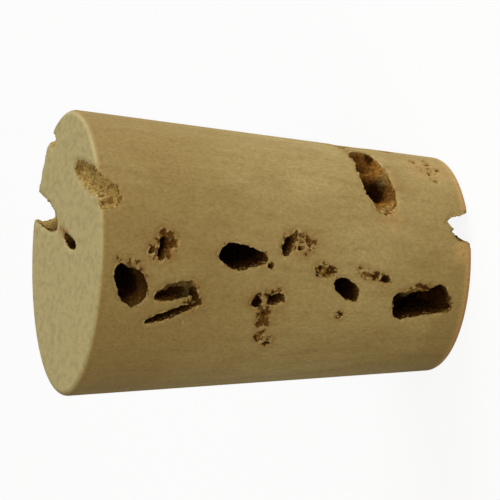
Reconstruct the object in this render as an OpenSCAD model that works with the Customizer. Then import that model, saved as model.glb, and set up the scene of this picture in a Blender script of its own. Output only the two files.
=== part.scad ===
// Tapered stopper turned from one block of natural cork bark.
// It stands on its narrow foot at z = 0, with the wide head on top.
// Bearings go round the axis: 0 faces the front (-Y), 90 faces +X.

/* [Plug] */
// Diameter of the head, across its sharp corner
head_d = 24; // [18:0.5:36]
// Diameter of the foot, across its sharp corner
foot_d = 18.5; // [14:0.5:30]
// Length from the foot to the head
length = 33; // [24:0.5:48]
// Rounding of the head's rim
head_edge = 0.5; // [0.2:0.1:1.2]
// Rounding of the foot's rim
foot_edge = 0.6; // [0.2:0.1:1.2]

/* [Bark pores] */
// Mouth length of the largest pore
pore_length = 5.4; // [3.6:0.2:6.4]
// Mouth width of the largest pore
pore_width = 2.5; // [1.5:0.1:3.2]
// Depth of the deepest pore
pore_depth = 4.6; // [2:0.2:6]
// How far the pore walls wander in and out, as a share of the pore's own size
pore_ragged = 0.14; // [0:0.02:0.24]
// Bearing that the pores run towards, square to the growth rings
grain_bearing = -12; // [-30:1:30]

/* [Broken places] */
// Depth of the crumbled patches on the wall and the ends
crumble_depth = 0.45; // [0.2:0.05:0.8]
// Depth of the chips broken out of the rims
chip_depth = 0.9; // [0.4:0.1:1.5]

/* [Hidden] */
$fn = 96;

head_r = head_d / 2;
foot_r = foot_d / 2;
taper = atan((head_r - foot_r) / length);

// Points along each rounded rim
rim_steps = 4;
// Sides and levels of a pore, and of a crumb
pore_sides = 20;
pore_levels = [0, 0.4, 0.75, 1];
crumb_sides = 10;
crumb_levels = [0, 0.6, 1];
// How much of a pore's mouth is lost at its floor
floor_close = 0.85;
// How far a cutting shape stands out of the bark
proud = head_r;
// Waves of a ragged wall: cycles round the hole, shift with the seed, shift with depth, share
wander_waves = [
    [3, 97, 60, 0.4],
    [5, 61, -90, 0.3],
    [8, 29, 150, 0.3],
];

// Columns of a row
PLACE = 0;
BEARING = 1;
LONG = 2;
WIDE = 3;
DEEP = 4;
TURN = 5;
FULLNESS = 6;
EGG = 7;
SEED = 8;

// Each row below is one hole in the bark: its height as a share of the length, its bearing, then
// mouth length, mouth width and depth as shares of the largest, turn of the mouth (0 runs down the
// wall, 90 runs round it), fullness (under 2 pointed, 2 oval, over 2 boxy), how much wider the lower
// end of the mouth is, and a seed for the ragged edge.

// Pores that run with the grain, seen end on at the front and the back
pores = [
    [0.930, -11.0, 0.62, 0.78, 0.95, -62, 2.6, 0.1, 6],
    [0.840, 3.0, 0.38, 0.34, 0.50, 72, 2.2, 0, 2],
    [0.810, -16.0, 0.58, 0.30, 0.45, 14, 2.2, 0.2, 3],
    [0.810, -24.0, 0.98, 0.28, 0.40, 21, 1.6, 0, 4],
    [0.630, 0.5, 0.84, 0.82, 0.95, -5, 1.9, -0.2, 4],
    [0.510, 6.0, 0.34, 0.40, 0.50, 65, 2.0, -0.2, 6],
    [0.585, -19.0, 0.19, 0.34, 0.35, 60, 2.0, 0, 7],
    [0.535, -17.5, 0.32, 0.38, 0.38, 16, 2.4, 0, 8],
    [0.345, -13.0, 0.52, 0.62, 0.75, -35, 2.2, 0, 9],
    [0.130, -21.0, 1.02, 0.82, 1.00, 10, 3.6, 0, 24],
    [0.090, -15.0, 0.32, 0.60, 0.80, 0, 2.2, 0, 25],
    [0.240, -8.0, 0.17, 0.26, 0.28, -30, 2.0, 0, 11],
    [0.000, 23.0, 0.84, 0.52, 1.60, 0, 1.7, 0, 13],
    [0.000, 17.0, 0.66, 0.76, 1.40, 0, 1.7, 0, 14],
    [1.000, 160.0, 0.80, 1.00, 1.85, 30, 1.7, 0, 15],
    [1.000, 124.5, 0.34, 0.56, 0.50, 0, 2.0, 0, 16],
    [0.830, 188.0, 0.50, 0.56, 0.70, -30, 2.2, 0, 17],
    [0.660, 168.0, 0.70, 0.72, 0.85, 10, 1.8, 0.2, 18],
    [0.580, 204.0, 0.30, 0.36, 0.40, 60, 2.0, 0, 19],
    [0.380, 184.0, 0.54, 0.66, 0.80, 25, 2.4, 0, 20],
    [0.190, 200.0, 0.78, 0.80, 0.90, -10, 3.0, -0.1, 21],
    [0.130, 170.0, 0.28, 0.36, 0.40, 80, 2.0, 0, 22],
    [0.450, 216.0, 0.36, 0.30, 0.45, 20, 1.8, 0, 23],
];

// Crumbled spots that follow the wall
crumbs = [
    [0.916, -12.5, 0.68, 1.04, 2.8, -62, 2.8, 0, 57],
    [0.800, -14.0, 0.76, 0.60, 1.8, 14, 2.2, 0.2, 58],
    [0.840, 8.5, 0.22, 0.40, 0.8, 30, 2.0, 0, 31],
    [0.815, 5.0, 0.28, 0.20, 2.0, 45, 1.8, 0, 32],
    [0.870, 2.5, 0.22, 0.20, 2.0, 48, 1.8, 0, 33],
    [0.750, -17.0, 0.36, 0.30, 2.4, 100, 2.0, 0, 34],
    [0.770, -28.0, 0.10, 0.14, 1.0, 30, 2.0, 0, 35],
    [0.555, -3.0, 0.13, 0.26, 2.0, 0, 2.0, 0, 36],
    [0.490, 11.5, 0.28, 0.18, 1.8, 62, 1.7, 0, 37],
    [0.455, 8.0, 0.22, 0.22, 1.8, 115, 2.0, 0, 38],
    [0.475, 5.5, 0.20, 0.16, 1.4, 10, 2.0, 0, 39],
    [0.560, -26.5, 0.34, 0.34, 1.8, 75, 2.0, 0, 40],
    [0.560, -37.0, 0.20, 0.22, 1.0, 110, 2.0, 0, 41],
    [0.535, -40.5, 0.20, 0.18, 1.0, 15, 2.0, 0, 42],
    [0.410, -5.0, 0.46, 0.38, 1.0, -25, 2.0, 0, 43],
    [0.290, -6.0, 0.42, 0.18, 1.0, -22, 1.8, 0, 44],
    [0.355, -26.0, 0.10, 0.20, 1.0, 0, 2.0, 0, 45],
    [0.245, 46.0, 1.52, 1.20, 2.8, 97, 3.8, 0, 46],
    [0.250, 43.0, 0.58, 0.90, 5.0, -50, 2.4, 0, 12],
    [0.255, 64.0, 0.48, 1.10, 3.6, 10, 2.2, 0, 47],
    [0.105, 66.0, 0.16, 0.24, 0.8, 40, 2.0, 0, 48],
    [0.070, 57.0, 0.16, 0.24, 0.9, 70, 2.0, 0, 49],
    [0.075, 48.5, 0.14, 0.20, 0.8, 20, 2.0, 0, 50],
    [0.070, 69.0, 0.18, 0.22, 0.8, -20, 2.0, 0, 51],
    [0.150, -15.0, 0.52, 0.44, 1.0, 10, 2.4, 0, 56],
    [0.690, 196.0, 0.24, 0.26, 1.4, 50, 2.0, 0, 52],
    [0.330, 172.0, 0.30, 0.30, 1.2, 70, 1.8, 0, 53],
    [0.520, 178.0, 0.16, 0.24, 1.2, 10, 2.0, 0, 54],
    [0.290, 206.0, 0.20, 0.24, 1.2, 40, 2.0, 0, 55],
];

// Chips out of the rims
chips = [
    [0.985, 24.0, 0.50, 1.10, 1.0, 0, 2.4, 0, 61],
    [1.000, 145.0, 0.40, 3.20, 0.8, 0, 2.0, 0, 62],
];

// Pores laid open along their length by the ends of the plug. Here the first number is the distance
// from the axis as a share of the end's radius, and the turn is counted from the grain.
head_grooves = [
    [0.77, 42.5, 1.85, 1.00, 0.11, 0, 2.2, 0, 71],
    [0.14, 34.0, 0.93, 0.44, 0.45, 0, 1.8, 0, 72],
];
foot_grooves = [
    [0.55, 204.0, 0.80, 0.30, 0.30, 0, 1.8, 0, 73],
    [0.62, 118.0, 0.50, 0.34, 0.25, 0, 1.8, 0, 74],
];

// Radius of the tapered wall at a share of the length
function wall_r(height) = foot_r + (head_r - foot_r) * height;

// Bearing, out of the front or the back, that a pore at this bearing opens towards
function pore_facing(bearing) =
    cos(bearing - grain_bearing) < 0 ? grain_bearing + 180 : grain_bearing;

// Half mouth of unit size at an angle: pointed, oval or boxy
function mouth(angle, fullness) =
    pow(pow(abs(cos(angle)), fullness) + pow(abs(sin(angle)), fullness), -1 / fullness) / 2;

// Wandering of a ragged wall, different at each level
function wander(angle, level, seed) =
    let (waves = [for (w = wander_waves) w[3] * sin(w[0] * angle + w[1] * seed + w[2] * level)])
    1 + pore_ragged * (waves * [for (w = wander_waves) 1]);

// Steep walls that close to a rounded floor
function closing(level) = sqrt(1 - floor_close * pow(level, 3));

// Points of one level of a hole, at height z
function level_points(row, level, z, sides) = [
    for (i = [0:sides - 1])
        let (angle = 360 * i / sides)
        let (reach = mouth(angle, row[FULLNESS]) * wander(angle, level, row[SEED]) * closing(level))
        let (long = row[LONG] * pore_length)
        let (wide = row[WIDE] * pore_width * (1 + row[EGG] * cos(angle)))
        [long * reach * cos(angle), wide * reach * sin(angle), z]
];

// Hole with its mouth at z = 0, its floor below by its share of the given depth, and a top that
// stands proud
module hole(row, depth, sides, levels) {
    top = level_points(row, levels[0], proud, sides);
    inside = [
        for (level = levels)
            if (level > 0)
                each level_points(row, level, -row[DEEP] * depth * level, sides)
    ];
    bands = len(levels) - 1;
    walls = [
        for (band = [0:bands - 1], i = [0:sides - 1])
            let (here = band * sides + i)
            let (next = band * sides + (i + 1) % sides)
            each [[here, next, next + sides], [here, next + sides, here + sides]]
    ];
    lid = [for (i = [sides - 1:-1:0]) i];
    floor_face = [for (i = [0:sides - 1]) bands * sides + i];
    rotate([0, 0, row[TURN]])
        polyhedron(points = concat(top, inside), faces = concat([lid], walls, [floor_face]));
}

// Seats a hole on the wall: x runs down the plug, y round it and z out towards the facing bearing
module on_wall(row, facing) {
    radius = wall_r(row[PLACE]);
    translate([radius * sin(row[BEARING]), -radius * cos(row[BEARING]), row[PLACE] * length])
        rotate([0, 0, facing])
            rotate([90, 90, 0])
                children();
}

// Seats a groove on an end of the plug, with x along the grain
module on_end(row, end_r, z) {
    radius = row[PLACE] * end_r;
    translate([radius * sin(row[BEARING]), -radius * cos(row[BEARING]), z])
        rotate([0, 0, grain_bearing + 90])
            children();
}

// The plug as turned: a straight taper with both rims eased
module turned_plug() {
    function rim_centre(z, edge) = [foot_r + tan(taper) * z - edge / cos(taper), z];
    function rim_arc(z, edge, from, to) = [
        for (i = [0:rim_steps])
            let (angle = from + (to - from) * i / rim_steps)
            rim_centre(z, edge) + edge * [cos(angle), sin(angle)]
    ];
    rotate_extrude()
        polygon(concat(
            [[0, 0]],
            rim_arc(foot_edge, foot_edge, -90, -taper),
            rim_arc(length - head_edge, head_edge, -taper, 90),
            [[0, length]]
        ));
}

module pore_holes() {
    for (row = pores)
        on_wall(row, pore_facing(row[BEARING]))
            hole(row, pore_depth, pore_sides, pore_levels);
}

module crumb_holes() {
    for (row = crumbs)
        on_wall(row, row[BEARING])
            hole(row, crumble_depth, crumb_sides, crumb_levels);
}

module chip_holes() {
    for (row = chips)
        on_wall(row, row[BEARING])
            hole(row, chip_depth, pore_sides, crumb_levels);
}

module end_grooves() {
    for (row = head_grooves)
        on_end(row, head_r, length)
            hole(row, pore_depth, pore_sides, crumb_levels);
    for (row = foot_grooves)
        on_end(row, foot_r, 0)
            mirror([0, 0, 1])
                hole(row, pore_depth, pore_sides, crumb_levels);
}

module stopper() {
    color("#A58D5C")
        difference() {
            turned_plug();
            pore_holes();
            crumb_holes();
            chip_holes();
            end_grooves();
        }
}

stopper();
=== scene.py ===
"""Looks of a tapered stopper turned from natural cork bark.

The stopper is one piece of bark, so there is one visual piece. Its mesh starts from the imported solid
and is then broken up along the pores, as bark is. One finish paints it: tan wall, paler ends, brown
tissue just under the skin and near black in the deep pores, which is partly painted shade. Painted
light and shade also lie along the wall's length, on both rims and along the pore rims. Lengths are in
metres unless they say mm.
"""

import logging
import math
from dataclasses import dataclass, field
from enum import Enum
from typing import Any, Union

import bpy
import numpy as np
from mathutils import Matrix, Vector, kdtree, noise

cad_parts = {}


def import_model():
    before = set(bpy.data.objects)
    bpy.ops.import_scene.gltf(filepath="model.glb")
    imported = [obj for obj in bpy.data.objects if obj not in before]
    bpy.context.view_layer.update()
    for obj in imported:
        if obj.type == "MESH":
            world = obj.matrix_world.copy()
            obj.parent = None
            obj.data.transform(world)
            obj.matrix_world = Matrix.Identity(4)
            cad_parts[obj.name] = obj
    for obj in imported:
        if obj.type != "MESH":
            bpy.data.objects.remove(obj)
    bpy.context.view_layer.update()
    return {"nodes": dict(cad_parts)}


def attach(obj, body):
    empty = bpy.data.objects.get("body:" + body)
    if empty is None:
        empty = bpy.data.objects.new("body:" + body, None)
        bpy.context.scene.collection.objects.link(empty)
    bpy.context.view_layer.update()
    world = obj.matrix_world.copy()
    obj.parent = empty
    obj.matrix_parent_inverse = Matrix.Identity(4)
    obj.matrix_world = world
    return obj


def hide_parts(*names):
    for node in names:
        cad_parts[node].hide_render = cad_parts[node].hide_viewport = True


LOG = logging.getLogger("stopper")
MM = 0.001
NODE = "stopper"
UP = (0.0, 0.0, 1.0)
TINY = 1e-9

Colour = tuple[float, float, float, float]
Triple = tuple[float, float, float]
Number = Union[float, "Value"]
Paint = Union[Colour, "Value"]


class Mark(Enum):
    """What is written on each point of the bark, for its finish and its thinning."""

    DEPTH = "pit_depth"
    RIM = "pit_rim"
    WEAK = "weak_bark"
    CRACK = "crack"
    GRAIN = "loose_grain"
    STAIN = "stain"
    PALE = "pale_tissue"
    DARK = "dark_tissue_and_shade"
    WARM = "warm_tissue"
    WORN = "worn_skin"


class Blend(Enum):
    """Ways to lay one colour over another."""

    OVER = "MIX"
    TIMES = "MULTIPLY"


def tone(red: int, green: int, blue: int) -> Colour:
    """A colour as the eye names it, in steps of 0 to 255, turned into light.

    Args:
        red: Red share.
        green: Green share.
        blue: Blue share.

    Returns:
        The linear colour, with full alpha.
    """
    parts = [step / 255 for step in (red, green, blue)]
    light = [s / 12.92 if s <= 0.04045 else ((s + 0.055) / 1.055) ** 2.4 for s in parts]
    return (light[0], light[1], light[2], 1.0)


def smooth_step(value: float, low: float, high: float) -> float:
    """A smooth step, 0 at low and 1 at high.

    Args:
        value: The number.
        low: Number at which the step starts.
        high: Number at which the step is full.

    Returns:
        The step.
    """
    share = min(1.0, max(0.0, (value - low) / (high - low)))
    return share * share * (3.0 - 2.0 * share)


class Value:
    """One output socket of a sheet of nodes, which can be used in sums."""

    def __init__(self, sheet: "NodeSheet", socket: bpy.types.NodeSocket) -> None:
        """Keeps the socket and the sheet that it is on."""
        self.sheet = sheet
        self.socket = socket

    def __add__(self, other: Number) -> "Value":
        """This plus the other."""
        return self.sheet.sum("ADD", self, other)

    def __radd__(self, other: Number) -> "Value":
        """The other plus this."""
        return self.sheet.sum("ADD", other, self)

    def __sub__(self, other: Number) -> "Value":
        """This less the other."""
        return self.sheet.sum("SUBTRACT", self, other)

    def __rsub__(self, other: Number) -> "Value":
        """The other less this."""
        return self.sheet.sum("SUBTRACT", other, self)

    def __mul__(self, other: Number) -> "Value":
        """This times the other."""
        return self.sheet.sum("MULTIPLY", self, other)

    def __rmul__(self, other: Number) -> "Value":
        """The other times this."""
        return self.sheet.sum("MULTIPLY", other, self)

    def __truediv__(self, other: Number) -> "Value":
        """This divided by the other."""
        return self.sheet.sum("DIVIDE", self, other)

    def __rtruediv__(self, other: Number) -> "Value":
        """The other divided by this."""
        return self.sheet.sum("DIVIDE", other, self)

    def __pow__(self, other: Number) -> "Value":
        """This to the power of the other."""
        return self.sheet.sum("POWER", self, other)

    def __rpow__(self, other: Number) -> "Value":
        """The other to the power of this."""
        return self.sheet.sum("POWER", other, self)

    def wave(self) -> "Value":
        """A sine of this, moved to run from 0 to 1."""
        return self.sheet.sum("SINE", self, 0.0) * 0.5 + 0.5

    def rise(self, low: float, high: float) -> "Value":
        """A smooth step of this, 0 at low and 1 at high.

        Args:
            low: Value at which the step starts.
            high: Value at which the step is full.

        Returns:
            The step.
        """
        return self.sheet.node(
            "ShaderNodeMapRange",
            {"interpolation_type": "SMOOTHSTEP"},
            {"Value": self, "From Min": low, "From Max": high},
        )


class NodeSheet:
    """The nodes of one material or of the world."""

    def __init__(self, tree: bpy.types.NodeTree) -> None:
        """Starts with an empty sheet."""
        tree.nodes.clear()
        self.tree = tree

    def node(self, kind: str, settings: dict[str, Any], sockets: dict[str, Any], out: str = "") -> Value:
        """Adds one node.

        Args:
            kind: The node's type.
            settings: Its own settings, which are set first; stops are those of a colour ramp.
            sockets: Values or links of its inputs, by their identifiers.
            out: Identifier of the output that is wanted, or nothing for the first one.

        Returns:
            The output.
        """
        made = self.tree.nodes.new(kind)
        for name, setting in settings.items():
            if name == "stops":
                self._set_stops(made.color_ramp, setting)
            else:
                setattr(made, name, setting)
        inputs = {socket.identifier: socket for socket in made.inputs}
        for name, value in sockets.items():
            if isinstance(value, Value):
                self.tree.links.new(value.socket, inputs[name])
            else:
                inputs[name].default_value = value
        outputs = {socket.identifier: socket for socket in made.outputs}
        return Value(self, outputs[out] if out else next(iter(made.outputs), None))

    @staticmethod
    def _set_stops(ramp: bpy.types.ColorRamp, stops: list[tuple[float, Colour]]) -> None:
        """Sets the stops of a colour ramp.

        Args:
            ramp: The ramp.
            stops: Places from 0 to 1 in rising order, each with its colour.
        """
        while len(ramp.elements) < len(stops):
            ramp.elements.new(1.0)
        for element, (place, colour) in zip(ramp.elements, stops):
            element.position = place
            element.color = colour

    def sum(self, operation: str, first: Number, second: Number) -> Value:
        """Adds one Math node.

        Args:
            operation: What it does.
            first: Its first number.
            second: Its second number.

        Returns:
            The result.
        """
        return self.node("ShaderNodeMath", {"operation": operation}, {"Value": first, "Value_001": second})

    def mix(self, under: Paint, over: Paint, share: Number, how: Blend = Blend.OVER) -> Value:
        """Lays one colour over another.

        Args:
            under: The colour below.
            over: The colour laid on it.
            share: How much of it, from 0 to 1.
            how: The way that it is laid on.

        Returns:
            The colour that shows.
        """
        return self.node(
            "ShaderNodeMix",
            {"data_type": "RGBA", "blend_type": how.value},
            {"Factor_Float": share, "A_Color": under, "B_Color": over},
            "Result_Color",
        )

    def shade(self, colour: Paint, level: Value) -> Value:
        """A colour made lighter or darker by a level round 1."""
        grey = self.node("ShaderNodeCombineColor", {}, {"Red": level, "Green": level, "Blue": level})
        return self.mix(colour, grey, 1.0, Blend.TIMES)

    def mark(self, mark: Mark) -> Value:
        """A number that is written on the points of the mesh."""
        return self.node("ShaderNodeAttribute", {"attribute_name": mark.value}, {}, "Fac")

    def place(self) -> Value:
        """Finds the point on the piece.

        Returns:
            The point, in mm.
        """
        metres = self.node("ShaderNodeTexCoord", {}, {}, "Object")
        return self.node(
            "ShaderNodeVectorMath",
            {"operation": "SCALE"},
            {"Vector": metres, "Scale": 1 / MM},
            "Vector",
        )

    def stretch(self, point: Value, factors: Triple) -> Value:
        """Scales a point by its own factor along each axis.

        Args:
            point: The point.
            factors: The factor along each axis.

        Returns:
            The scaled point.
        """
        return self.node(
            "ShaderNodeVectorMath",
            {"operation": "MULTIPLY"},
            {"Vector": point, "Vector_001": factors},
            "Vector",
        )

    def along(self, point: Value, direction: Triple) -> Value:
        """Measures a point along a direction.

        Args:
            point: The point.
            direction: The direction, one long.

        Returns:
            How far the point lies along it.
        """
        return self.node(
            "ShaderNodeVectorMath",
            {"operation": "DOT_PRODUCT"},
            {"Vector": point, "Vector_001": direction},
            "Value",
        )

    def cloud(self, point: Value, per_mm: float, detail: float, rough: float) -> Value:
        """Cloudy noise.

        Args:
            point: Where it is read, in mm.
            per_mm: Lumps in a millimetre.
            detail: Number of finer layers.
            rough: How strong the finer layers are.

        Returns:
            The noise, from 0 to 1.
        """
        sockets = {"Vector": point, "Scale": per_mm, "Detail": detail, "Roughness": rough}
        return self.node("ShaderNodeTexNoise", {}, sockets, "Fac")

    def cells(self, point: Value, per_mm: float) -> Value:
        """Distance from the middle of the nearest grain.

        Args:
            point: Where it is read, in mm.
            per_mm: Grains in a millimetre.

        Returns:
            The distance, 0 at the middle of a grain.
        """
        return self.node("ShaderNodeTexVoronoi", {}, {"Vector": point, "Scale": per_mm}, "Distance")


@dataclass(frozen=True)
class TurnedForm:
    """The plug as it was turned, before the bark broke: a straight taper with both rims eased."""

    head_r: float = 12.0 * MM
    foot_r: float = 9.25 * MM
    length: float = 33.0 * MM
    head_edge: float = 0.5 * MM
    foot_edge: float = 0.6 * MM

    @property
    def slope(self) -> float:
        """How much the radius grows with the height."""
        return (self.head_r - self.foot_r) / self.length

    def on_wall(self, height: float, bearing: float, inset: float) -> np.ndarray:
        """A point on the wall, or further in.

        Args:
            height: Its height above the foot.
            bearing: Its bearing from the front, growing towards +X.
            inset: How far in from the wall it lies.

        Returns:
            The point.
        """
        radius = self.foot_r + self.slope * height - inset
        return np.array([radius * math.sin(bearing), -radius * math.cos(bearing), height])

    def depth(self, points: np.ndarray) -> tuple[np.ndarray, np.ndarray]:
        """Where points lie below the turned surface.

        Args:
            points: The points, one a row.

        Returns:
            The depth of each point, and the direction out of the nearest surface.
        """
        radius = np.hypot(points[:, 0], points[:, 1])
        flat = np.stack([radius, points[:, 2]], axis=1)
        lean = math.atan(self.slope)
        faces = [
            ((math.cos(lean), -math.sin(lean)), (self.foot_r, 0.0)),
            ((0.0, 1.0), (0.0, self.length)),
            ((0.0, -1.0), (0.0, 0.0)),
        ]
        depths = np.stack([(np.array(at) - flat) @ np.array(out) for out, at in faces])
        depth = depths.min(axis=0)
        out = np.array([face[0] for face in faces])[depths.argmin(axis=0)]
        rims = [(self.head_edge, self.length - self.head_edge, 1), (self.foot_edge, self.foot_edge, -1)]
        for edge, height, sign in rims:
            centre = np.array([self.foot_r + self.slope * height - edge / math.cos(lean), height])
            away = flat - centre
            reach = np.linalg.norm(away, axis=1)
            past_wall = sign * (away @ np.array([math.sin(lean), math.cos(lean)])) > 0
            on_rim = past_wall & (away[:, 0] > 0)
            depth = np.where(on_rim, edge - reach, depth)
            out = np.where(on_rim[:, None], away / np.maximum(reach, TINY)[:, None], out)
        spoke = points[:, :2] / np.maximum(radius, TINY)[:, None]
        return depth, np.column_stack([spoke * out[:, :1], out[:, 1]])


@dataclass(frozen=True)
class Clouds:
    """A cloudy noise in the bark, with its own scale and stretch."""

    per_mm: float
    detail: float
    rough: float
    factors: Triple = (1.0, 1.0, 1.0)

    def read(self, sheet: NodeSheet, point: Value) -> Value:
        """The noise at a point in mm, from 0 to 1 round its middle."""
        return sheet.cloud(sheet.stretch(point, self.factors), self.per_mm, self.detail, self.rough)


@dataclass(frozen=True)
class Rise:
    """A share that comes in smoothly as some measure rises from low to high."""

    low: float
    high: float
    share: float = 1.0

    def of(self, measure: Value) -> Value:
        """The share at a value of the measure."""
        return self.share * measure.rise(self.low, self.high)


@dataclass(frozen=True)
class CorkFinish:
    """Natural cork: fine grained tan bark with faint growth rings, darker in its pores.

    Rises over the height or the depth are in mm, and those over a noise or a mark go from 0 to 1.
    """

    # Colours of the skin
    wall: Colour = tone(163, 139, 84)
    wall_pale: Colour = tone(177, 154, 99)
    wall_brown: Colour = tone(146, 119, 67)
    ring: Colour = tone(138, 108, 60)
    end: Colour = tone(187, 171, 119)
    end_grey: Colour = tone(172, 156, 108)
    fleck: Colour = tone(112, 92, 52)
    # Pale crumbs; the same colour is also the painted highlight along the pore rims
    crumb: Colour = tone(202, 176, 120)
    # Orange tan of worn skin on the worn spots; on the foot's rim the same colour is painted light,
    # lifting the shade beside the floor
    worn_and_lit_rim: Colour = tone(206, 164, 102)
    stain: Colour = tone(138, 92, 36)
    # Colours under the skin, with their place from the surface to the tissue's reach; they darken with
    # depth, partly the tissue's own brown and partly painted shade in the deep pores
    tissue: tuple[tuple[float, Colour], ...] = (
        (0.00, tone(152, 124, 66)),
        (0.08, tone(124, 90, 37)),
        (0.20, tone(96, 64, 20)),
        (0.50, tone(60, 36, 8)),
        (1.00, tone(28, 17, 5)),
    )
    warm_tissue: tuple[tuple[float, Colour], ...] = (
        (0.00, tone(172, 136, 74)),
        (0.15, tone(160, 111, 48)),
        (0.42, tone(138, 92, 36)),
        (0.60, tone(60, 32, 8)),
        (1.00, tone(18, 9, 2)),
    )
    # Paler broken tissue, which on the walls of the foot's notch is also painted light where they lie in
    # shadow
    bleached_and_lit_tissue: Colour = tone(168, 140, 80)
    # Dark tissue in the pores, partly painted shade deep inside them
    dark_tissue_and_shade: Colour = tone(34, 16, 4)
    # Seams in crumbled bark: partly their own dark colour, partly painted shade in the narrow seams
    crack: Colour = tone(62, 36, 10)
    pale_crack: Colour = tone(126, 92, 42)
    # Noises in the bark
    wall_grain: Clouds = Clouds(4.2, 4.0, 0.7, (1.0, 1.0, 0.7))
    head_grain: Clouds = Clouds(3.0, 4.0, 0.7, (1.0, 0.35, 1.0))
    drift: Clouds = Clouds(0.16, 3.0, 0.55)
    streaks: Clouds = Clouds(1.0, 3.0, 0.6, (1.1, 1.1, 0.2))
    end_patches: Clouds = Clouds(1.6, 3.0, 0.6, (1.0, 0.5, 1.0))
    flecks: Clouds = Clouds(2.4, 2.0, 0.5, (1.0, 0.5, 0.7))
    crumbs: Clouds = Clouds(2.6, 3.0, 0.6)
    ragged: Clouds = Clouds(5.0, 2.0, 0.6)
    noise_middle: float = 0.5
    cells_per_mm: float = 3.0
    cells_factors: Triple = (1.0, 0.6, 0.6)
    # Growth rings
    grain_bearing: float = math.radians(-12)
    ring_mm: float = 2.4
    ring_drift: float = 7.0
    ring_streaks: float = 2.0
    ring_sharpness: float = 5.0
    ring_share: float = 0.14
    # Where the skin changes with the height: the faces are the ends' own colour, the paler belt and the
    # foot rim's band are painted light, and the browner head end and the head rim are painted shade
    foot_face: Rise = Rise(0.04, 0.12)
    foot_rim_light: Rise = Rise(0.25, 0.95)
    lit_belt_start: Rise = Rise(2.0, 11.0)
    lit_belt_end: Rise = Rise(14.0, 29.0)
    lit_belt_share: float = 0.5
    head_end_shade: Rise = Rise(15.0, 30.0, 0.45)
    head_rim_shade: Rise = Rise(32.3, 32.6, 0.6)
    head_face: Rise = Rise(32.7, 32.95)
    # Where the skin changes with the noises
    drift_pale: Rise = Rise(0.42, 0.68, 0.75)
    streak_brown: Rise = Rise(0.45, 0.75, 0.4)
    patch_grey: Rise = Rise(0.4, 0.7)
    fleck_mask: Rise = Rise(0.6, 0.74)
    fleck_on_wall: float = 0.2
    fleck_less_on_end: float = 0.08
    grain_on_wall: float = 0.9
    grain_less_on_end: float = 0.6
    # Rims of the pores
    worn_crumbs: Rise = Rise(0.3, 0.6, 0.8)
    stain_even: float = 0.15
    stain_crumbs: Rise = Rise(0.35, 0.6, 0.45)
    stain_less_pale: float = 0.6
    edge_ragged: float = 0.3
    # Painted highlight: a pale line along the pore rims, broken up by the crumbs, where their rounding
    # would catch the light
    rim_highlight_near: Rise = Rise(0.84, 0.95)
    rim_highlight_end: Rise = Rise(0.08, 0.25)
    rim_highlight_even: float = 0.1
    rim_highlight_crumbs: Rise = Rise(0.44, 0.58, 0.6)
    # Tissue, cracks and loose grains in the pores
    tissue_start: Rise = Rise(0.04, 0.2)
    tissue_reach_mm: float = 3.0
    tissue_even: float = 0.55
    tissue_uneven: float = 0.9
    tissue_ragged: float = 1.9
    tissue_lumpy: float = 1.2
    dark_share: float = 0.95
    pale_share: float = 0.9
    fraying: float = 0.8
    crack_mask: Rise = Rise(0.3, 0.6, 0.8)
    crack_warm_pale: float = 0.7
    crack_less_dark: float = 0.8
    loose_mask: Rise = Rise(0.35, 0.65, 0.45)
    loose_end: Rise = Rise(0.4, 1.6)
    loose_less_warm: float = 0.6
    # Sheen and fine relief
    roughness: float = 0.75
    roughness_grain: float = 0.2
    coat: float = 0.22
    coat_end: Rise = Rise(0.02, 0.1)
    coat_roughness: float = 0.5
    bump: float = 0.35
    bump_height: float = 0.06 * MM
    bump_cells: float = 0.6
    bump_less_on_head: float = 0.6

    def build(self) -> bpy.types.Material:
        """Makes the material.

        Returns:
            The cork.
        """
        material = bpy.data.materials.new("natural_cork")
        material.use_nodes = True
        sheet = NodeSheet(material.node_tree)
        point = sheet.place()
        on_head = self.head_face.of(sheet.along(point, UP))
        along_wall = self.wall_grain.read(sheet, point)
        across_head = self.head_grain.read(sheet, point)
        grain = along_wall + on_head * (across_head - along_wall)
        cells = sheet.cells(sheet.stretch(point, self.cells_factors), self.cells_per_mm)
        relief = grain * (1.0 - self.bump_less_on_head * on_head) + self.bump_cells * cells
        shader = sheet.node(
            "ShaderNodeBsdfPrincipled",
            {},
            {
                "Base Color": self._pores(sheet, point, self._skin(sheet, point, grain)),
                "Roughness": self.roughness + self.roughness_grain * (grain - self.noise_middle),
                "Specular IOR Level": 0.0,
                "Coat Weight": self.coat * (1.0 - self.coat_end.of(sheet.mark(Mark.DEPTH))),
                "Coat Roughness": self.coat_roughness,
                "Normal": sheet.node(
                    "ShaderNodeBump",
                    {},
                    {"Strength": self.bump, "Distance": self.bump_height, "Height": relief},
                    "Normal",
                ),
            },
            "BSDF",
        )
        sheet.node("ShaderNodeOutputMaterial", {}, {"Surface": shader})
        return material

    def _rings(self, sheet: NodeSheet, point: Value, drift: Value, streaks: Value) -> Value:
        """The growth rings of the bark.

        Args:
            sheet: The sheet of nodes.
            point: The point, in mm.
            drift: Slow noise that bends the rings.
            streaks: Long noise that frays them.

        Returns:
            1 in the dark line of a ring, and 0 between the rings.
        """
        inward = (math.sin(self.grain_bearing), -math.cos(self.grain_bearing), 0.0)
        phase = sheet.along(point, inward) * (2 * math.pi / self.ring_mm)
        phase = phase + self.ring_drift * drift + self.ring_streaks * streaks
        return phase.wave() ** self.ring_sharpness

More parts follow.
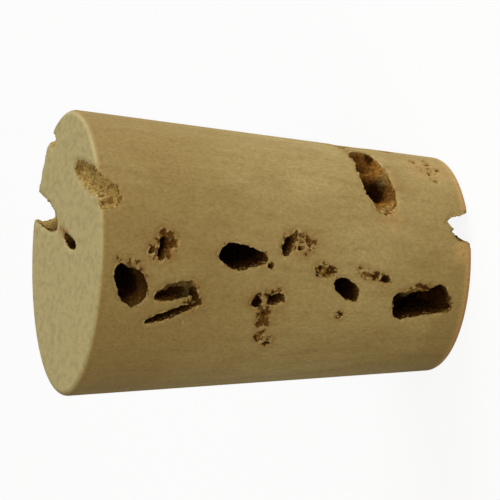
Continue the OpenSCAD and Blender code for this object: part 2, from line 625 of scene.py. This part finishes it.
    def _skin(self, sheet: NodeSheet, point: Value, grain: Value) -> Value:
        """Colour of the turned wall and the cut ends, with painted light and shade along the wall and on
        its rims.

        Args:
            sheet: The sheet of nodes.
            point: The point, in mm.
            grain: The fine grain.

        Returns:
            The colour.
        """
        height = sheet.along(point, UP)
        drift = self.drift.read(sheet, point)
        streaks = self.streaks.read(sheet, point)
        # Painted light: a paler belt round the middle of the wall; painted shade browns the wall towards
        # the head
        lit_belt = self.lit_belt_start.of(height) * (1.0 - self.lit_belt_end.of(height))
        wall = sheet.mix(self.wall, self.wall_pale, self.drift_pale.of(drift) + self.lit_belt_share * lit_belt)
        wall = sheet.mix(wall, self.wall_brown, self.streak_brown.of(streaks))
        wall = sheet.mix(wall, self.wall_brown, self.head_end_shade.of(height))
        wall = sheet.mix(wall, self.ring, self.ring_share * self._rings(sheet, point, drift, streaks))
        # Painted light on the foot's rim, lifting the shade it has beside the floor
        wall = sheet.mix(self.worn_and_lit_rim, wall, self.foot_rim_light.of(height))
        # Painted shade on the head's rim, damping the highlight that its rounding catches
        wall = sheet.mix(wall, self.wall_brown, self.head_rim_shade.of(height))
        patches = self.end_patches.read(sheet, point)
        end = sheet.mix(self.end, self.end_grey, self.patch_grey.of(patches))
        on_end = self.head_face.of(height) + (1.0 - self.foot_face.of(height))
        skin = sheet.mix(wall, end, on_end)
        flecks = self.fleck_mask.of(self.flecks.read(sheet, point))
        skin = sheet.mix(skin, self.fleck, flecks * (self.fleck_on_wall - self.fleck_less_on_end * on_end))
        contrast = self.grain_on_wall - self.grain_less_on_end * on_end
        return sheet.shade(skin, 1.0 + (grain - self.noise_middle) * contrast)

    def _tissue(self, sheet: NodeSheet, crumbs: Value, ragged: Value) -> Value:
        """Colour of the bark under the skin, with painted shade in the deep pores.

        Args:
            sheet: The sheet of nodes.
            crumbs: Noise of the crumbs.
            ragged: Fine noise round 0.

        Returns:
            The colour.
        """
        uneven = self.tissue_even + self.tissue_uneven * crumbs
        # The ramps darken with depth: partly the tissue's brown, partly painted shade in the deep pores
        place = sheet.mark(Mark.DEPTH) * uneven / self.tissue_reach_mm
        brown, warm = [
            sheet.node("ShaderNodeValToRGB", {"stops": list(stops)}, {"Fac": place}, "Color")
            for stops in (self.tissue, self.warm_tissue)
        ]
        tissue = sheet.mix(brown, warm, sheet.mark(Mark.WARM))
        # Dark tissue and painted shade deep inside some pores
        tissue = sheet.mix(tissue, self.dark_tissue_and_shade, self.dark_share * sheet.mark(Mark.DARK))
        # Pale broken tissue, also painted light on the shaded walls of the foot's notch
        tissue = sheet.mix(tissue, self.bleached_and_lit_tissue, self.pale_share * sheet.mark(Mark.PALE))
        lumps = self.tissue_lumpy * (crumbs - self.noise_middle)
        return sheet.shade(tissue, 1.0 + self.tissue_ragged * ragged + lumps)

    def _pores(self, sheet: NodeSheet, point: Value, skin: Value) -> Value:
        """Colour with the pores, their crumbled rims and a painted highlight along those rims on it.

        Args:
            sheet: The sheet of nodes.
            point: The point, in mm.
            skin: The colour of the skin.

        Returns:
            The colour that shows.
        """
        crumbs = self.crumbs.read(sheet, point)
        ragged = self.ragged.read(sheet, point) - self.noise_middle
        depth = sheet.mark(Mark.DEPTH)
        rim = sheet.mark(Mark.RIM)
        pale = sheet.mark(Mark.PALE)
        warm = sheet.mark(Mark.WARM)
        dark = sheet.mark(Mark.DARK)
        shown = sheet.mix(skin, self.worn_and_lit_rim, sheet.mark(Mark.WORN) * self.worn_crumbs.of(crumbs))
        stain = sheet.mark(Mark.STAIN) * (1.0 - self.stain_less_pale * pale)
        shown = sheet.mix(shown, self.stain, stain * (self.stain_even + self.stain_crumbs.of(crumbs)))
        edge = depth + self.edge_ragged * (ragged * rim)
        # Painted highlight along the pore rims, left off where the tissue is pale
        rim_highlight = self.rim_highlight_near.of(rim) * (1.0 - self.rim_highlight_end.of(edge)) * (1.0 - pale)
        shown = sheet.mix(shown, self.crumb, rim_highlight * (self.rim_highlight_even + self.rim_highlight_crumbs.of(1.0 - crumbs)))
        shown = sheet.mix(shown, self._tissue(sheet, crumbs, ragged), self.tissue_start.of(edge))
        # Seam colour: partly dark tissue, partly painted shade in the narrow seams
        paleness = sheet.sum("MAXIMUM", pale, self.crack_warm_pale * warm)
        seam = sheet.mix(self.crack, self.pale_crack, paleness)
        cracks = self.crack_mask.of(sheet.mark(Mark.CRACK) + self.fraying * ragged)
        shown = sheet.mix(shown, seam, cracks * (1.0 - self.crack_less_dark * dark))
        loose = self.loose_mask.of(sheet.mark(Mark.GRAIN) + self.fraying * ragged)
        loose = loose * (1.0 - self.loose_end.of(depth)) * (1.0 - self.loose_less_warm * warm)
        return sheet.mix(shown, self.crumb, loose * (1.0 - dark))


@dataclass(frozen=True)
class Spot:
    """A place on the plug: on its wall, or further in from there. Its bearing is in degrees."""

    height_mm: float
    bearing: float
    reach_mm: float
    level: float = 1.0
    inset_mm: float = 0.0
    steepness: float = 1.7

    def share(self, points: np.ndarray, form: TurnedForm, spread: float) -> np.ndarray:
        """How much of the spot each point has.

        Args:
            points: The points, one a row.
            form: The turned form that the spot lies on.
            spread: How many times its reach the spot goes.

        Returns:
            The spot's level round its middle, falling to 0 at its reach.
        """
        middle = form.on_wall(self.height_mm * MM, math.radians(self.bearing), self.inset_mm * MM)
        away = np.linalg.norm(points - middle, axis=1) / (spread * self.reach_mm * MM)
        return self.level * np.clip(self.steepness * (1.0 - away), 0.0, 1.0)


@dataclass(frozen=True)
class Crumbling:
    """How weak bark falls to crumbs: it opens in holes and along seams, and grains come loose."""

    lump: float = 0.5 * MM
    grain: float = 0.36 * MM
    full_weakness: float = 0.4
    # Holes open where the lumps stand above a level, which is lower where the bark is weaker
    hole_level: float = 0.45
    hole_level_drop: float = 0.42
    hole_slope: float = 0.25
    # Seams run beside the holes, between grains with bent edges
    bend: float = 0.4
    bend_grains: float = 0.6
    seam_core: float = 0.04
    seam_edge: float = 0.08
    seam_edge_gain: float = 0.2
    seam_share: float = 0.9
    beside_start: float = 0.45
    beside_full: float = 0.05
    # Loose grains come in clusters
    cluster_grains: float = 3.0
    cluster_edge: float = 0.15
    loose_core: float = 0.2
    loose_edge: float = 0.45
    crown: float = 0.35

    def at(self, point: Vector, weak: float) -> tuple[float, float, float]:
        """How the bark has crumbled at one point.

        Args:
            point: The point.
            weak: How weak the bark is there, from 0 to 1.

        Returns:
            1 where it has opened and 0 where it is sound, 1 on a loose grain, and how far the crumb
            stands out.
        """
        share = smooth_step(weak, 0.0, self.full_weakness)
        lumps = noise.noise(point / self.lump)
        level = self.hole_level - self.hole_level_drop * weak
        hole = smooth_step(lumps, level, level + self.hole_slope)
        bend = noise.noise_vector(point / (self.bend_grains * self.grain))
        near = noise.voronoi((point + self.bend * self.grain * bend) / self.grain)[0]
        seam_edge = self.seam_edge + self.seam_edge_gain * weak
        seam = 1.0 - smooth_step(near[1] - near[0], self.seam_core, seam_edge)
        beside = smooth_step(lumps, level - self.beside_start, level - self.beside_full)
        opened = share * max(hole, self.seam_share * seam * beside)
        cluster = noise.noise(point / (self.cluster_grains * self.grain))
        loose = share * smooth_step(cluster, -self.cluster_edge, self.cluster_edge)
        loose *= 1.0 - smooth_step(near[0], self.loose_core, self.loose_edge)
        return opened, loose, self.crown - near[0]


@dataclass
class BarkPlug:
    """The stopper's bark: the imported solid, broken up along its pores."""

    form: TurnedForm = field(default_factory=TurnedForm)
    finish: CorkFinish = field(default_factory=CorkFinish)
    crumbling: Crumbling = field(default_factory=Crumbling)
    weak_spots: tuple[Spot, ...] = (
        # Chip in the head's rim
        Spot(32.2, 24.0, 1.4),
        # Rim of the pore nearest the head
        Spot(31.5, -2.5, 0.6, 0.8),
        Spot(30.7, -3.5, 0.8),
        Spot(29.9, -5.0, 0.8),
        Spot(29.3, -9.0, 0.6, 0.8),
        # Star-shaped patch
        Spot(28.3, 2.0, 0.9),
        Spot(27.6, 3.5, 1.3),
        Spot(27.4, 8.5, 0.9, 0.8),
        # Ends of the two long narrow pores
        Spot(25.1, -14.0, 0.9),
        Spot(24.9, -18.5, 1.0),
        # T-shaped patch
        Spot(19.3, -18.5, 0.9),
        Spot(17.8, -17.5, 1.2),
        Spot(18.4, -23.5, 0.9),
        Spot(18.4, -28.0, 0.9),
        Spot(18.4, -36.0, 0.8),
        Spot(17.6, -39.5, 0.8),
        # Patches and a dot in the middle of the wall
        Spot(16.5, 8.5, 1.0),
        Spot(15.3, 7.5, 1.2),
        Spot(13.9, -3.5, 0.8, 0.9),
        Spot(13.0, -5.5, 0.8, 0.9),
        Spot(11.7, -26.0, 0.5),
        # Row of crumbs
        Spot(10.4, -3.5, 0.5),
        Spot(9.7, -5.5, 0.6),
        Spot(8.9, -6.5, 0.6),
        Spot(8.1, -8.0, 0.7),
        # Ledge and lower end of the biggest pore
        Spot(6.2, -15.2, 0.6),
        Spot(5.6, -13.8, 0.6),
        Spot(4.8, -12.8, 0.6),
        Spot(4.0, -12.0, 0.5),
        Spot(1.9, -22.0, 0.6),
        # Ends of the trough, and the specks beside it
        Spot(9.8, 77.0, 0.9, 0.8),
        Spot(7.7, 27.0, 1.0, 0.6),
        Spot(5.2, 81.0, 0.7),
        Spot(2.7, 60.0, 1.9, 0.42),
    )
    pale_spots: tuple[Spot, ...] = (
        # Broken places of both rims
        Spot(32.6, 24.0, 5.0, inset_mm=1.5),
        Spot(33.0, 48.0, 3.5, inset_mm=3.5),
        Spot(33.0, 124.5, 2.5),
        Spot(33.0, 160.0, 5.0),
        # On the foot's broken rim the pale tissue is also painted light on walls that lie in shadow
        Spot(0.0, 40.0, 5.0),
        Spot(0.0, 75.0, 5.0, inset_mm=4.0),
        # Rims and walls of pores
        Spot(30.7, -3.5, 1.4, 0.5),
        Spot(28.8, -25.5, 1.2, 0.4),
        Spot(27.0, -11.0, 1.7, 0.35),
        Spot(25.6, -10.5, 1.7, 0.35),
        Spot(7.2, 27.0, 1.4, 0.4),
        Spot(6.9, 51.0, 1.1, 0.45, 0.3),
        Spot(5.4, -13.0, 1.6, 0.3),
        Spot(2.7, 59.0, 3.0, 0.8),
        Spot(2.0, -17.0, 1.0, 0.6),
        Spot(1.7, -21.5, 1.0, 0.6),
    )
    warm_spots: tuple[Spot, ...] = (
        Spot(33.0, 115.0, 1.8, inset_mm=10.4),
        Spot(29.0, -17.0, 2.6, 0.8),
        Spot(27.8, 4.0, 2.0, 0.6),
        Spot(18.2, -27.0, 2.6, 0.5),
        Spot(15.4, 6.0, 2.0, 0.6),
        Spot(8.2, 38.0, 7.0),
        Spot(8.2, 62.0, 6.0),
    )
    worn_spots: tuple[Spot, ...] = (
        Spot(7.3, 22.0, 1.6, 0.5),
        Spot(2.8, 59.5, 2.6, 0.6),
        Spot(0.7, 8.0, 1.4),
    )
    stain_spots: tuple[Spot, ...] = (
        Spot(33.0, 128.0, 0.7, 1.3, 9.6),
        Spot(33.0, 110.0, 0.8, 1.6, 10.1),
        Spot(33.0, 75.0, 0.8, 1.6, 10.5),
        Spot(9.6, 71.0, 1.2, 0.7),
        Spot(9.3, 60.0, 0.8, 0.5),
        Spot(6.5, 52.0, 1.3, 0.6),
        Spot(6.3, 43.0, 1.0, 0.5),
        Spot(2.7, 60.0, 2.0, 1.1),
    )
    # Dark tissue in the pores, partly painted shade deep inside them
    dark_spots: tuple[Spot, ...] = (
        Spot(33.0, 60.0, 2.2, inset_mm=11.2),
        Spot(30.1, -13.0, 2.7),
        Spot(25.4, -16.0, 1.1, inset_mm=0.6),
        Spot(19.0, -20.0, 0.8, inset_mm=0.6),
        Spot(8.2, 51.0, 1.0, 0.9, 1.4),
        Spot(8.1, 71.0, 1.5, 0.3, 1.0),
        Spot(7.6, 29.0, 0.9, 0.3, 0.5),
        Spot(7.5, 47.0, 1.6, inset_mm=1.4),
        Spot(7.5, 68.5, 0.8, 0.9, 0.4),
        Spot(6.8, 37.0, 1.0, 0.6, 0.6),
        Spot(6.2, -18.4, 1.3, inset_mm=0.7),
    )
    hollow_spots: tuple[Spot, ...] = (
        Spot(8.9, 84.0, 1.3, 0.3),
        Spot(7.6, 84.0, 1.3, 0.15),
        Spot(6.4, -18.6, 0.75),
        Spot(5.8, -17.6, 0.6),
    )
    # Mesh
    voxel: float = 0.12 * MM
    triangles: int = 190_000
    spared_mark: float = 0.1
    spared_depth: float = 2.0 * MM
    smoothing: int = 6
    seed: int = 1
    # Skin, and how many times its thickness down a pore's wall starts and its mouth ends
    skin: float = 0.06 * MM
    wall_layers: int = 2
    mouth_layers: int = 6
    # How far sound skin settles below the turned form, and how many times that still counts as turned
    settle: float = 0.01 * MM
    turned_layers: int = 2
    turned_rim: float = 0.5
    # Rims of the pores
    rim_reach: float = 0.55 * MM
    rim_least: float = 0.02
    rim_ragged: float = 0.11 * MM
    rim_lump: float = 0.5 * MM
    rim_fine: float = 0.4
    rim_fine_share: float = 0.5
    rim_round: float = 0.11 * MM
    rim_sharpness: int = 5
    rim_weakness: float = 0.22
    rim_weak_start: float = 0.6
    rim_weak_width: float = 0.35
    # Crumbs and cracks
    weak_least: float = 0.02
    hole_weakness: float = 0.4
    crumble: float = 0.3 * MM
    crack_depth: float = 0.28 * MM
    crack_relief: float = 0.4
    hollow_depth: float = 1.2 * MM
    shallow: float = 0.7 * MM
    island_rise: float = 0.7
    pale_rise: float = 0.3
    pale_reach: float = 1.4
    stain_spread: float = 1.45

    def build(self, solid: bpy.types.Object) -> bpy.types.Object:
        """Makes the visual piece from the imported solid.

        Args:
            solid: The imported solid, which is left as it is.

        Returns:
            The dressed piece.
        """
        piece = bpy.data.objects.new("cork_bark", solid.data.copy())
        bpy.context.scene.collection.objects.link(piece)
        self._apply(piece, "REMESH", {"mode": "VOXEL", "voxel_size": self.voxel})
        self._break_up(piece.data)
        self._thin(piece)
        self._shade_skin(piece.data)
        piece.data.materials.clear()
        piece.data.materials.append(self.finish.build())
        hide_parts(NODE)
        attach(piece, "root")
        return piece

    @staticmethod
    def _apply(piece: bpy.types.Object, kind: str, settings: dict[str, Any]) -> None:
        """Runs one modifier and keeps its result as the mesh.

        Args:
            piece: The piece.
            kind: The modifier's type.
            settings: The modifier's settings.
        """
        modifier = piece.modifiers.new(kind.lower(), kind)
        for name, setting in settings.items():
            setattr(modifier, name, setting)
        bpy.context.view_layer.update()
        graph = bpy.context.evaluated_depsgraph_get()
        mesh = bpy.data.meshes.new_from_object(piece.evaluated_get(graph))
        piece.modifiers.remove(modifier)
        piece.data = mesh

    @staticmethod
    def _read(mesh: bpy.types.Mesh, name: str) -> np.ndarray:
        """Reads a vector of each point of a mesh.

        Args:
            mesh: The mesh.
            name: The name of the vector.

        Returns:
            The vectors, one a row.
        """
        flat = np.empty(len(mesh.vertices) * 3, np.float32)
        mesh.vertices.foreach_get(name, flat)
        return flat.reshape(-1, 3).astype(float)

    @staticmethod
    def _read_mark(mesh: bpy.types.Mesh, mark: Mark) -> np.ndarray:
        """Reads a mark of each point of a mesh.

        Args:
            mesh: The mesh.
            mark: The mark.

        Returns:
            The mark's numbers.
        """
        values = np.empty(len(mesh.vertices), np.float32)
        mesh.attributes[mark.value].data.foreach_get("value", values)
        return values

    @staticmethod
    def _write_mark(mesh: bpy.types.Mesh, mark: Mark, values: np.ndarray) -> None:
        """Writes one mark on each point of a mesh."""
        layer = mesh.attributes.new(mark.value, "FLOAT", "POINT")
        layer.data.foreach_set("value", values.astype(np.float32))

    def _closeness(self, points: np.ndarray, depth: np.ndarray) -> np.ndarray:
        """How close each point is to the mouth of a pore.

        Args:
            points: The points.
            depth: Their depth below the turned surface.

        Returns:
            1 at a mouth, falling to 0 away from it.
        """
        mouth = np.flatnonzero((depth > self.skin) & (depth < self.mouth_layers * self.skin))
        tree = kdtree.KDTree(len(mouth))
        for index in mouth:
            tree.insert(points[index], int(index))
        tree.balance()
        gap = np.where(depth > self.skin, depth, 0.0)
        for index in np.flatnonzero(depth <= self.skin):
            gap[index] = tree.find(points[index])[2]
        return np.exp(-((gap / self.rim_reach) ** 2))

    def _smooth(self, mesh: bpy.types.Mesh, points: np.ndarray, inside: np.ndarray) -> np.ndarray:
        """Evens out the facets of the pore walls.

        Args:
            mesh: The mesh, for its edges.
            points: The points.
            inside: Which of them lie on pore walls.

        Returns:
            The evened points.
        """
        edges = np.empty(len(mesh.edges) * 2, np.int32)
        mesh.edges.foreach_get("vertices", edges)
        first, second = edges.reshape(-1, 2).T
        count = np.bincount(edges, minlength=len(points))[:, None]
        for _ in range(self.smoothing):
            total = np.zeros_like(points)
            np.add.at(total, first, points[second])
            np.add.at(total, second, points[first])
            points = np.where(inside[:, None], total / count, points)
        return points

    def _spread(self, spots: tuple[Spot, ...], points: np.ndarray, spread: float = 1.0) -> np.ndarray:
        """The most that each point has of any of the spots."""
        return np.max([spot.share(points, self.form, spread) for spot in spots], axis=0)

    def _weakness(self, points: np.ndarray, depth: np.ndarray, close: np.ndarray) -> np.ndarray:
        """How weak the bark is.

        Args:
            points: The points.
            depth: Their depth below the turned surface.
            close: How close they are to the mouth of a pore.

        Returns:
            0 where it is sound and 1 where it crumbles.
        """
        weak = self._spread(self.weak_spots, points)
        near = np.clip((close - self.rim_weak_start) / self.rim_weak_width, 0.0, 1.0)
        return np.maximum(weak, np.where(depth > self.skin, self.hole_weakness, self.rim_weakness * near))

    def _crumbs(self, points: np.ndarray, weak: np.ndarray) -> tuple[np.ndarray, np.ndarray, np.ndarray]:
        """How weak bark falls to crumbs.

        Args:
            points: The points.
            weak: How weak the bark is there.

        Returns:
            1 where it has opened and 0 where it is sound, 1 on loose grains, and how far each crumb
            stands out.
        """
        opened = np.zeros(len(points))
        grains = np.zeros(len(points))
        relief = np.zeros(len(points))
        for index in np.flatnonzero(weak > self.weak_least):
            crumbled = self.crumbling.at(Vector(points[index]), weak[index])
            opened[index], grains[index], relief[index] = crumbled
        return opened, grains, relief

    def _fray(self, points: np.ndarray, close: np.ndarray, inside: np.ndarray) -> np.ndarray:
        """Gives the mouths of the pores ragged edges.

        Args:
            points: The points.
            close: How close they are to the mouth of a pore.
            inside: Which of them lie in a pore.

        Returns:
            The moved points.
        """
        moved = points.copy()
        for index in np.flatnonzero(inside | (close > self.rim_least)):
            at = Vector(points[index])
            wide = noise.noise_vector(at / self.rim_lump)
            fine = noise.noise_vector(at / (self.rim_fine * self.rim_lump))
            shift = np.array(wide + self.rim_fine_share * fine)
            moved[index] += shift * self.rim_ragged * close[index]
        return moved

    def _break_up(self, mesh: bpy.types.Mesh) -> None:
        """Gives the mouths ragged edges and the weak bark its crumbs, and writes the marks.

        Args:
            mesh: The mesh, which is changed.
        """
        noise.seed_set(self.seed)
        points = self._read(mesh, "co")
        outward = self._read(mesh, "normal")
        depth = self.form.depth(points)[0]
        inside = depth > self.skin
        close = self._closeness(points, depth)
        points = self._smooth(mesh, points, depth > self.wall_layers * self.skin)
        weak = self._weakness(points, depth, close)
        cracks, grains, relief = self._crumbs(points, weak)
        pale = self._spread(self.pale_spots, points)
        moved = self._fray(points, close, inside)
        stand = self.crumble * (relief - self.crack_relief * cracks)
        moved += outward * (inside * stand * np.minimum(1.0, depth / self.shallow))[:, None]
        # Shallow floors rise to islands between the cracks, and weak skin sinks along them
        depth, out = self.form.depth(moved)
        flat = np.clip(1.0 - depth / self.shallow, 0.0, 1.0)
        islands = np.maximum(depth, 0.0) * (1.0 - self.island_rise * flat * (1.0 - cracks))
        islands *= 1.0 - self.pale_rise * pale * np.clip(self.pale_reach - depth / self.shallow, 0.0, 1.0)
        eased = np.maximum(self.crack_depth * cracks, self.rim_round * close ** self.rim_sharpness)
        sunk = np.where(inside, islands + self.crack_depth * flat * cracks, eased)
        sunk = np.maximum(sunk, self.hollow_depth * self._spread(self.hollow_spots, points))
        moved += out * (depth - np.maximum(sunk, self.settle))[:, None]
        mesh.vertices.foreach_set("co", moved.astype(np.float32).ravel())
        round_weak = self._spread(self.weak_spots, points, self.stain_spread)
        marks = {
            Mark.DEPTH: self.form.depth(moved)[0] / MM,
            Mark.RIM: close,
            Mark.WEAK: weak,
            Mark.CRACK: cracks,
            Mark.GRAIN: grains,
            Mark.STAIN: np.maximum(round_weak, self._spread(self.stain_spots, points)),
            Mark.PALE: pale,
            Mark.DARK: self._spread(self.dark_spots, points),
            Mark.WARM: self._spread(self.warm_spots, points),
            Mark.WORN: self._spread(self.worn_spots, points),
        }
        for mark, values in marks.items():
            self._write_mark(mesh, mark, values)
        mesh.update()

    def _thin(self, piece: bpy.types.Object) -> None:
        """Thins the plain skin and the deep walls, and spares the rims and the weak bark.

        Args:
            piece: The piece, which is changed.
        """
        mesh = piece.data
        rims = (Mark.RIM, Mark.WEAK, Mark.STAIN, Mark.WORN)
        marked = np.any([self._read_mark(mesh, mark) > self.spared_mark for mark in rims], axis=0)
        spared = marked & (self._read_mark(mesh, Mark.DEPTH) < self.spared_depth / MM)
        group = piece.vertex_groups.new(name="pores")
        group.add(np.flatnonzero(spared).tolist(), 1.0, "REPLACE")
        faces = sum(len(face.vertices) - 2 for face in mesh.polygons)
        ratio = min(1.0, self.triangles / faces)
        settings = {"ratio": ratio, "vertex_group": group.name, "invert_vertex_group": True}
        self._apply(piece, "DECIMATE", settings)

    def _shade_skin(self, mesh: bpy.types.Mesh) -> None:
        """Gives the skin the shading of the turned surface.

        Args:
            mesh: The mesh, which is changed.
        """
        depth, out = self.form.depth(self._read(mesh, "co"))
        whole = self._read_mark(mesh, Mark.RIM) < self.turned_rim
        turned = (depth < self.turned_layers * self.settle) & whole
        mesh.polygons.foreach_set("use_smooth", [True] * len(mesh.polygons))
        normals = np.where(turned[:, None], out, self._read(mesh, "normal"))
        mesh.normals_split_custom_set_from_vertices(normals.tolist())


@dataclass(frozen=True)
class SoftLamp:
    """A square soft lamp that faces the stopper.

    At level 1 a colour that faces the lamp squarely renders about as it is written.
    """

    name: str
    direction: Triple
    level: float
    colour: Triple = (1.0, 1.0, 1.0)
    width: float = 0.6
    distance: float = 0.6

    def build(self, target: Vector) -> None:
        """Hangs the lamp.

        Args:
            target: The point that it faces.
        """
        data = bpy.data.lights.new(self.name, "AREA")
        data.size = self.width
        data.color = self.colour
        data.energy = self.level * math.pi ** 2 * self.distance ** 2
        lamp = bpy.data.objects.new(self.name, data)
        away = Vector(self.direction).normalized()
        lamp.location = target + away * self.distance
        lamp.rotation_mode = "QUATERNION"
        lamp.rotation_quaternion = away.to_track_quat("Z", "Y")
        bpy.context.scene.collection.objects.link(lamp)


@dataclass(frozen=True)
class Studio:
    """A plain pale floor, soft lamps and the camera."""

    middle: Vector = Vector((0.0, 0.0, 16.5 * MM))
    lamps: tuple[SoftLamp, ...] = (
        SoftLamp("top_lamp", (0.9, 0.2, 0.4), 1.06, (1.0, 1.05, 1.14)),
        SoftLamp("front_lamp", (0.05, -0.8, 0.56), 0.63, (1.0, 0.975, 0.92)),
    )
    ambient: float = 0.18
    ambient_colour: Colour = tone(255, 243, 206)
    floor_width: float = 6.0
    white: Colour = (1.0, 1.0, 1.0, 1.0)
    floor_grey: Colour = (0.55, 0.55, 0.55, 1.0)
    floor_white: float = 0.9
    camera_at: Triple = (0.718 * MM, -227.396 * MM, 90.136 * MM)
    camera_right: Triple = (0.03209, -0.30706, -0.95115)
    camera_up: Triple = (0.99948, 0.00986, 0.03054)
    camera_lens: float = 201.6
    camera_clip: float = 0.01

    def build(self) -> None:
        """Sets up the floor, the light and the camera."""
        self._floor()
        self._world()
        for lamp in self.lamps:
            lamp.build(self.middle)
        self._camera()

    @staticmethod
    def _seen_directly(sheet: NodeSheet) -> Value:
        """Tells what is looked at from what is only lit.

        Args:
            sheet: The sheet of nodes.

        Returns:
            1 where the camera, a reflection or clear material looks straight at the surface.
        """
        kinds = ("Is Camera Ray", "Is Glossy Ray", "Is Transmission Ray")
        camera, glossy, clear = [sheet.node("ShaderNodeLightPath", {}, {}, kind) for kind in kinds]
        return sheet.sum("MAXIMUM", camera, sheet.sum("MAXIMUM", glossy, clear))

    def _floor(self) -> None:
        """Lays the floor under the foot, white to the eye but still shaded under the stopper."""
        half = self.floor_width / 2
        mesh = bpy.data.meshes.new("floor")
        corners = [(-half, -half, 0.0), (half, -half, 0.0), (half, half, 0.0), (-half, half, 0.0)]
        mesh.from_pydata(corners, [], [(0, 1, 2, 3)])
        floor = bpy.data.objects.new("floor", mesh)
        bpy.context.scene.collection.objects.link(floor)
        material = bpy.data.materials.new("pale_floor")
        material.use_nodes = True
        sheet = NodeSheet(material.node_tree)
        seen = self._seen_directly(sheet)
        paint = sheet.mix(self.floor_grey, self.white, seen)
        matt = sheet.node("ShaderNodeBsdfDiffuse", {}, {"Color": paint}, "BSDF")
        white = sheet.node("ShaderNodeEmission", {}, {"Color": self.white}, "Emission")
        shown = sheet.node(
            "ShaderNodeMixShader",
            {},
            {"Fac": self.floor_white * seen, "Shader": matt, "Shader_001": white},
        )
        sheet.node("ShaderNodeOutputMaterial", {}, {"Surface": shown})
        mesh.materials.append(material)

    def _world(self) -> None:
        """Fills the room with even light, white where it is looked at."""
        world = bpy.data.worlds.new("studio")
        world.use_nodes = True
        sheet = NodeSheet(world.node_tree)
        seen = self._seen_directly(sheet)
        strength = self.ambient + (1.0 - self.ambient) * seen
        colour = sheet.mix(self.ambient_colour, self.white, seen)
        sockets = {"Color": colour, "Strength": strength}
        light = sheet.node("ShaderNodeBackground", {}, sockets, "Background")
        sheet.node("ShaderNodeOutputWorld", {}, {"Surface": light})
        bpy.context.scene.world = world

    def _camera(self) -> None:
        """Stands the camera, turned on its side so that the stopper's axis lies across the picture."""
        data = bpy.data.cameras.new("camera")
        data.lens = self.camera_lens
        data.clip_start = self.camera_clip
        camera = bpy.data.objects.new("camera", data)
        right = Vector(self.camera_right)
        up = Vector(self.camera_up)
        stand = Matrix((right, up, right.cross(up))).transposed().to_4x4()
        stand.translation = Vector(self.camera_at)
        camera.matrix_world = stand
        bpy.context.scene.collection.objects.link(camera)
        bpy.context.scene.camera = camera


def main() -> None:
    """Builds the stopper and its studio."""
    logging.basicConfig(level=logging.INFO, format="%(name)s: %(message)s")
    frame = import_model()
    piece = BarkPlug().build(frame["nodes"][NODE])
    LOG.info("%s: %d faces", piece.name, len(piece.data.polygons))
    Studio().build()
    bpy.context.scene.view_settings.view_transform = "Standard"


if __name__ == "__main__":
    main()
